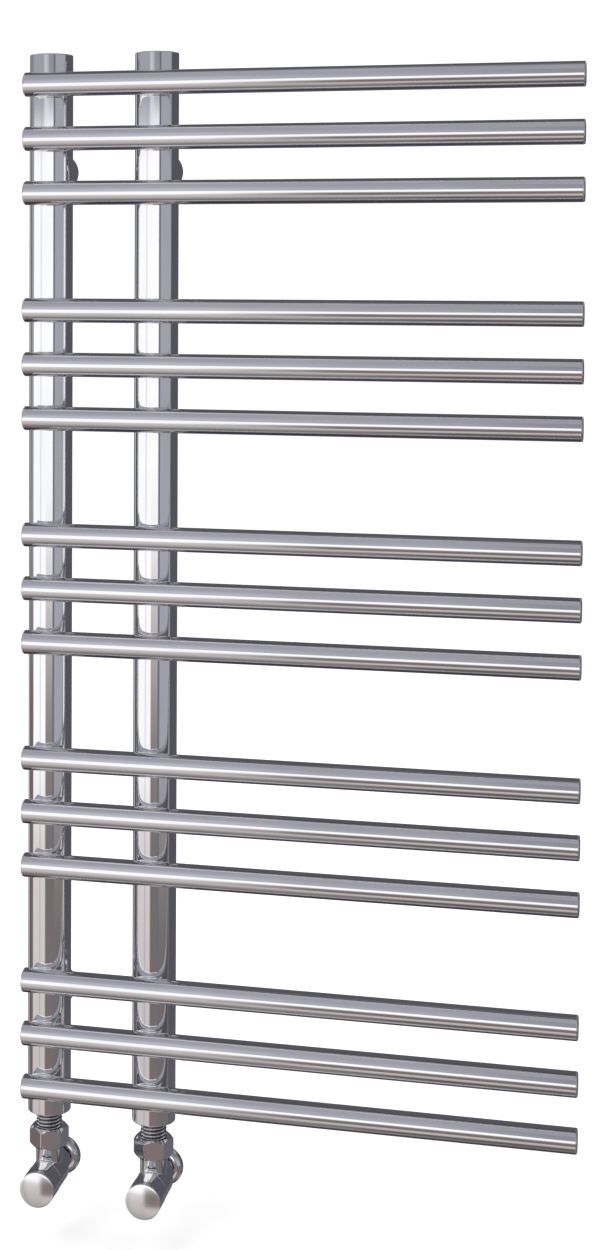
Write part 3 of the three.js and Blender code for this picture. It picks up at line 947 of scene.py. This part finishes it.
# Light of each wall as (height, screen value, tint), with heights in degrees above the level of
# the frame's origin.
FRONT_WALL = [
    (-88, 132, WARM), (-79, 104, BROWN), (-68, 85, BROWN), (-61, 96, BROWN),
    (-52, 166, WARM), (-43, 186, WARM), (-38, 186, WARM), (-34.5, 122, COPPER), (-27, 112, COPPER),
    (-19, 110, BROWN), (-14, 130, BROWN), (-10, 178, WARM), (-5.5, 244, WHITE), (-4, 253, WHITE),
    (9, 253, WHITE), (11, 192, LAVENDER), (13, 170, LAVENDER), (25, 168, LAVENDER),
    (35, 162, LAVENDER), (50, 158, LAVENDER), (90, 152, LAVENDER),
]
LEFT_WALL = [
    (-88, 136, WARM), (-68, 114, BROWN), (-55, 150, WARM), (-42, 178, WARM), (-30, 188, WARM),
    (-22, 200, WARM), (-18, 210, WARM), (-15.5, 244, WHITE), (-14, 252, WHITE), (8.8, 252, WHITE),
    (10.5, 208, LAVENDER), (13, 194, LAVENDER), (23, 187, LAVENDER), (35, 178, LAVENDER),
    (48, 162, LAVENDER), (61, 158, LAVENDER), (90, 168, LAVENDER),
]
RIGHT_WALL = [
    (-88, 115, BROWN), (-22, 108, BROWN), (-18, 128, BROWN), (-15, 162, LAVENDER),
    (10, 162, LAVENDER), (30, 146, LAVENDER), (90, 150, LAVENDER),
]
BACK_WALL = [
    (-88, 96, VIOLET), (-76, 70, VIOLET), (-64, 54, VIOLET), (-47, 58, VIOLET), (-36, 92, VIOLET),
    (-30, 104, VIOLET), (-24, 84, VIOLET), (10, 84, VIOLET), (30, 88, VIOLET), (45, 84, VIOLET),
    (66, 84, LAVENDER), (90, 126, LAVENDER),
]

# Azimuths, in degrees from straight ahead, over which one wall turns into the next.
LEFT_TO_FRONT = (-12.5, -6.5)
FRONT_TO_RIGHT = (34, 37)
RIGHT_TO_BACK = (91, 98)
BACK_TO_LEFT = (-108, -105)
LEFT_CORNER = (-41, -35, 2)     # a dimmer upright strip in the left wall
CORNER_SHARE = 0.87

# Patches over the walls: azimuths and elevations as (start, end, softness), then the light.
FRONT_PATCHES = [
    ((1, 30, 3), (11, 50, 1), 142, LAVENDER),
    ((-110, -22, 3), (9.8, 60, 1.2), 160, LAVENDER),
    ((26.5, 36, 1), (-30, 20, 6), 110, VIOLET),
    ((-106, -87, 1.5), None, 148, LAVENDER),
    ((-110, -84, 2), (-75, -9, 4), 104, COPPER),
]
REAR_LIGHTS = [
    ((104, 156, 2), (30, 46, 3), 170, WHITE),
    ((-150, -110, 2), (30, 46, 3), 190, WHITE),
    ((104, 156, 2), (-62, -44, 3), 150, WHITE),
    ((-129, -121, 2), (-60, 60, 3), 215, WHITE),
]


def wall_ramp(tree, height, stops, share=1):
    """Colour of a wall by height, from 0 at the bottom to 1 at the top."""
    colours = []
    for degrees, value, tint in stops:
        colours.append(((degrees + 90) / 180, tone(value * share, tint)))
    return ramp(tree, height, colours)


def paint_patches(tree, azimuth, elevation, colour, patches):
    """Lays the patches over colour, one after another."""
    for across, upward, value, tint in patches:
        share = window(tree, azimuth, *across)
        if upward is not None:
            share = math_node(tree, "MULTIPLY", share, window(tree, elevation, *upward))
        colour = mix_colour(tree, share, colour, tone(value, tint))
    return colour


def shell_angles(tree):
    """Azimuth and elevation of the shaded point in degrees, azimuth 0 straight ahead."""
    place = tree.nodes.new("ShaderNodeTexCoord").outputs["Object"]
    split = tree.nodes.new("ShaderNodeSeparateXYZ")
    tree.links.new(place, split.inputs["Vector"])
    x, y, z = (split.outputs[axis] for axis in "XYZ")
    lift = math_node(tree, "ARCSINE", math_node(tree, "DIVIDE", z, SHELL_RADIUS))
    turn = math_node(tree, "ARCTAN2", x, math_node(tree, "MULTIPLY", y, -1))
    azimuth = math_node(tree, "MULTIPLY", turn, 180 / math.pi)
    elevation = math_node(tree, "MULTIPLY", lift, 180 / math.pi)
    return azimuth, elevation


def studio_colour(tree):
    """Four walls blended into one another by azimuth, with patches in front and lights behind."""
    azimuth, elevation = shell_angles(tree)
    height = spread(tree, elevation, -90, 90, 0, 1)
    front = wall_ramp(tree, height, FRONT_WALL)
    right = wall_ramp(tree, height, RIGHT_WALL)
    back = wall_ramp(tree, height, BACK_WALL)
    left = wall_ramp(tree, height, LEFT_WALL)
    corner = wall_ramp(tree, height, LEFT_WALL, CORNER_SHARE)
    left = mix_colour(tree, window(tree, azimuth, *LEFT_CORNER), left, corner)
    colour = mix_colour(tree, spread(tree, azimuth, *LEFT_TO_FRONT, 0, 1), left, front)
    colour = mix_colour(tree, spread(tree, azimuth, *FRONT_TO_RIGHT, 0, 1), colour, right)
    colour = paint_patches(tree, azimuth, elevation, colour, FRONT_PATCHES)
    colour = mix_colour(tree, spread(tree, azimuth, *RIGHT_TO_BACK, 0, 1), colour, back)
    colour = mix_colour(tree, spread(tree, azimuth, *BACK_TO_LEFT, 1, 0), colour, back)
    return paint_patches(tree, azimuth, elevation, colour, REAR_LIGHTS)


def make_studio_shell():
    """Painted shell round the radiator that only its mirror surfaces see: a bright window in
    front and to the left, grey walls to the right and a dim back."""
    maker = bmesh.new()
    bmesh.ops.create_uvsphere(maker, u_segments=64, v_segments=32, radius=SHELL_RADIUS)
    mesh = bpy.data.meshes.new("studio_shell")
    maker.to_mesh(mesh)
    maker.free()
    shell = bpy.data.objects.new("studio_shell", mesh)
    bpy.context.scene.collection.objects.link(shell)
    shell.visible_camera = False
    shell.visible_diffuse = False
    shell.visible_transmission = False
    shell.visible_shadow = False

    material = bpy.data.materials.new("studio_shell")
    material.use_nodes = True
    material.cycles.emission_sampling = "NONE"
    mesh.materials.append(material)
    tree = material.node_tree
    tree.nodes.clear()
    glow = tree.nodes.new("ShaderNodeEmission")
    out = tree.nodes.new("ShaderNodeOutputMaterial")
    tree.links.new(studio_colour(tree), glow.inputs["Color"])
    tree.links.new(glow.outputs["Emission"], out.inputs["Surface"])


def make_world():
    world = bpy.data.worlds.new("studio_air")
    bpy.context.scene.world = world
    world.use_nodes = True
    background = world.node_tree.nodes["Background"]
    background.inputs["Color"].default_value = (1, 1, 1, 1)
    background.inputs["Strength"].default_value = AIR_LIGHT


def make_lights():
    """Wide soft lamps over the radiator; mirror surfaces see the painted shell instead."""
    for name, place, power in LAMPS:
        lamp = bpy.data.lights.new(name, "AREA")
        lamp.shape = "DISK"
        lamp.size = LAMP_SIZE
        lamp.energy = power
        holder = bpy.data.objects.new(name, lamp)
        holder.location = place
        holder.rotation_euler = (-Vector(place)).to_track_quat("-Z", "Y").to_euler()
        holder.visible_glossy = False
        bpy.context.scene.collection.objects.link(holder)


def make_camera():
    """Long lens level with the radiator's upper part, a little to its right, shifted down."""
    forward = Vector((
        math.sin(CAMERA_YAW) * math.cos(CAMERA_PITCH),
        math.cos(CAMERA_YAW) * math.cos(CAMERA_PITCH),
        math.sin(CAMERA_PITCH),
    ))
    level = Vector((math.cos(CAMERA_YAW), -math.sin(CAMERA_YAW), 0))
    above = level.cross(forward)
    right = level * math.cos(CAMERA_ROLL) + above * math.sin(CAMERA_ROLL)
    up = above * math.cos(CAMERA_ROLL) - level * math.sin(CAMERA_ROLL)
    turn = Matrix((right, up, -forward)).transposed().to_4x4()
    data = bpy.data.cameras.new("camera")
    data.sensor_width = 36
    data.lens = CAMERA_LENS
    data.shift_x, data.shift_y = CAMERA_SHIFT
    camera = bpy.data.objects.new("camera", data)
    camera.matrix_world = Matrix.Translation(CAMERA_PLACE) @ turn
    bpy.context.scene.collection.objects.link(camera)
    bpy.context.scene.camera = camera


# ---------------------------------------------------------------------------------------
# The whole
# ---------------------------------------------------------------------------------------

make_camera()
for bar in BARS:
    make_bar(bar)
    for number in SIDES:
        make_bar_weld(bar, number)
for number in SIDES:
    make_collector(number)
    make_body(number)
    make_union_nut(number)
    make_pipe_nut(number)
    make_tailpiece(number)
    make_grip(number)
    make_dome(number)
    make_pipe(number)
    make_rose(number)
    for level in ("upper", "lower"):
        make_boss(level, number)
        make_sleeve(level, number)
make_vent()
dress_inner_nodes()
make_floor()
make_studio_shell()
make_world()
make_lights()
bpy.context.scene.view_settings.view_transform = "Standard"
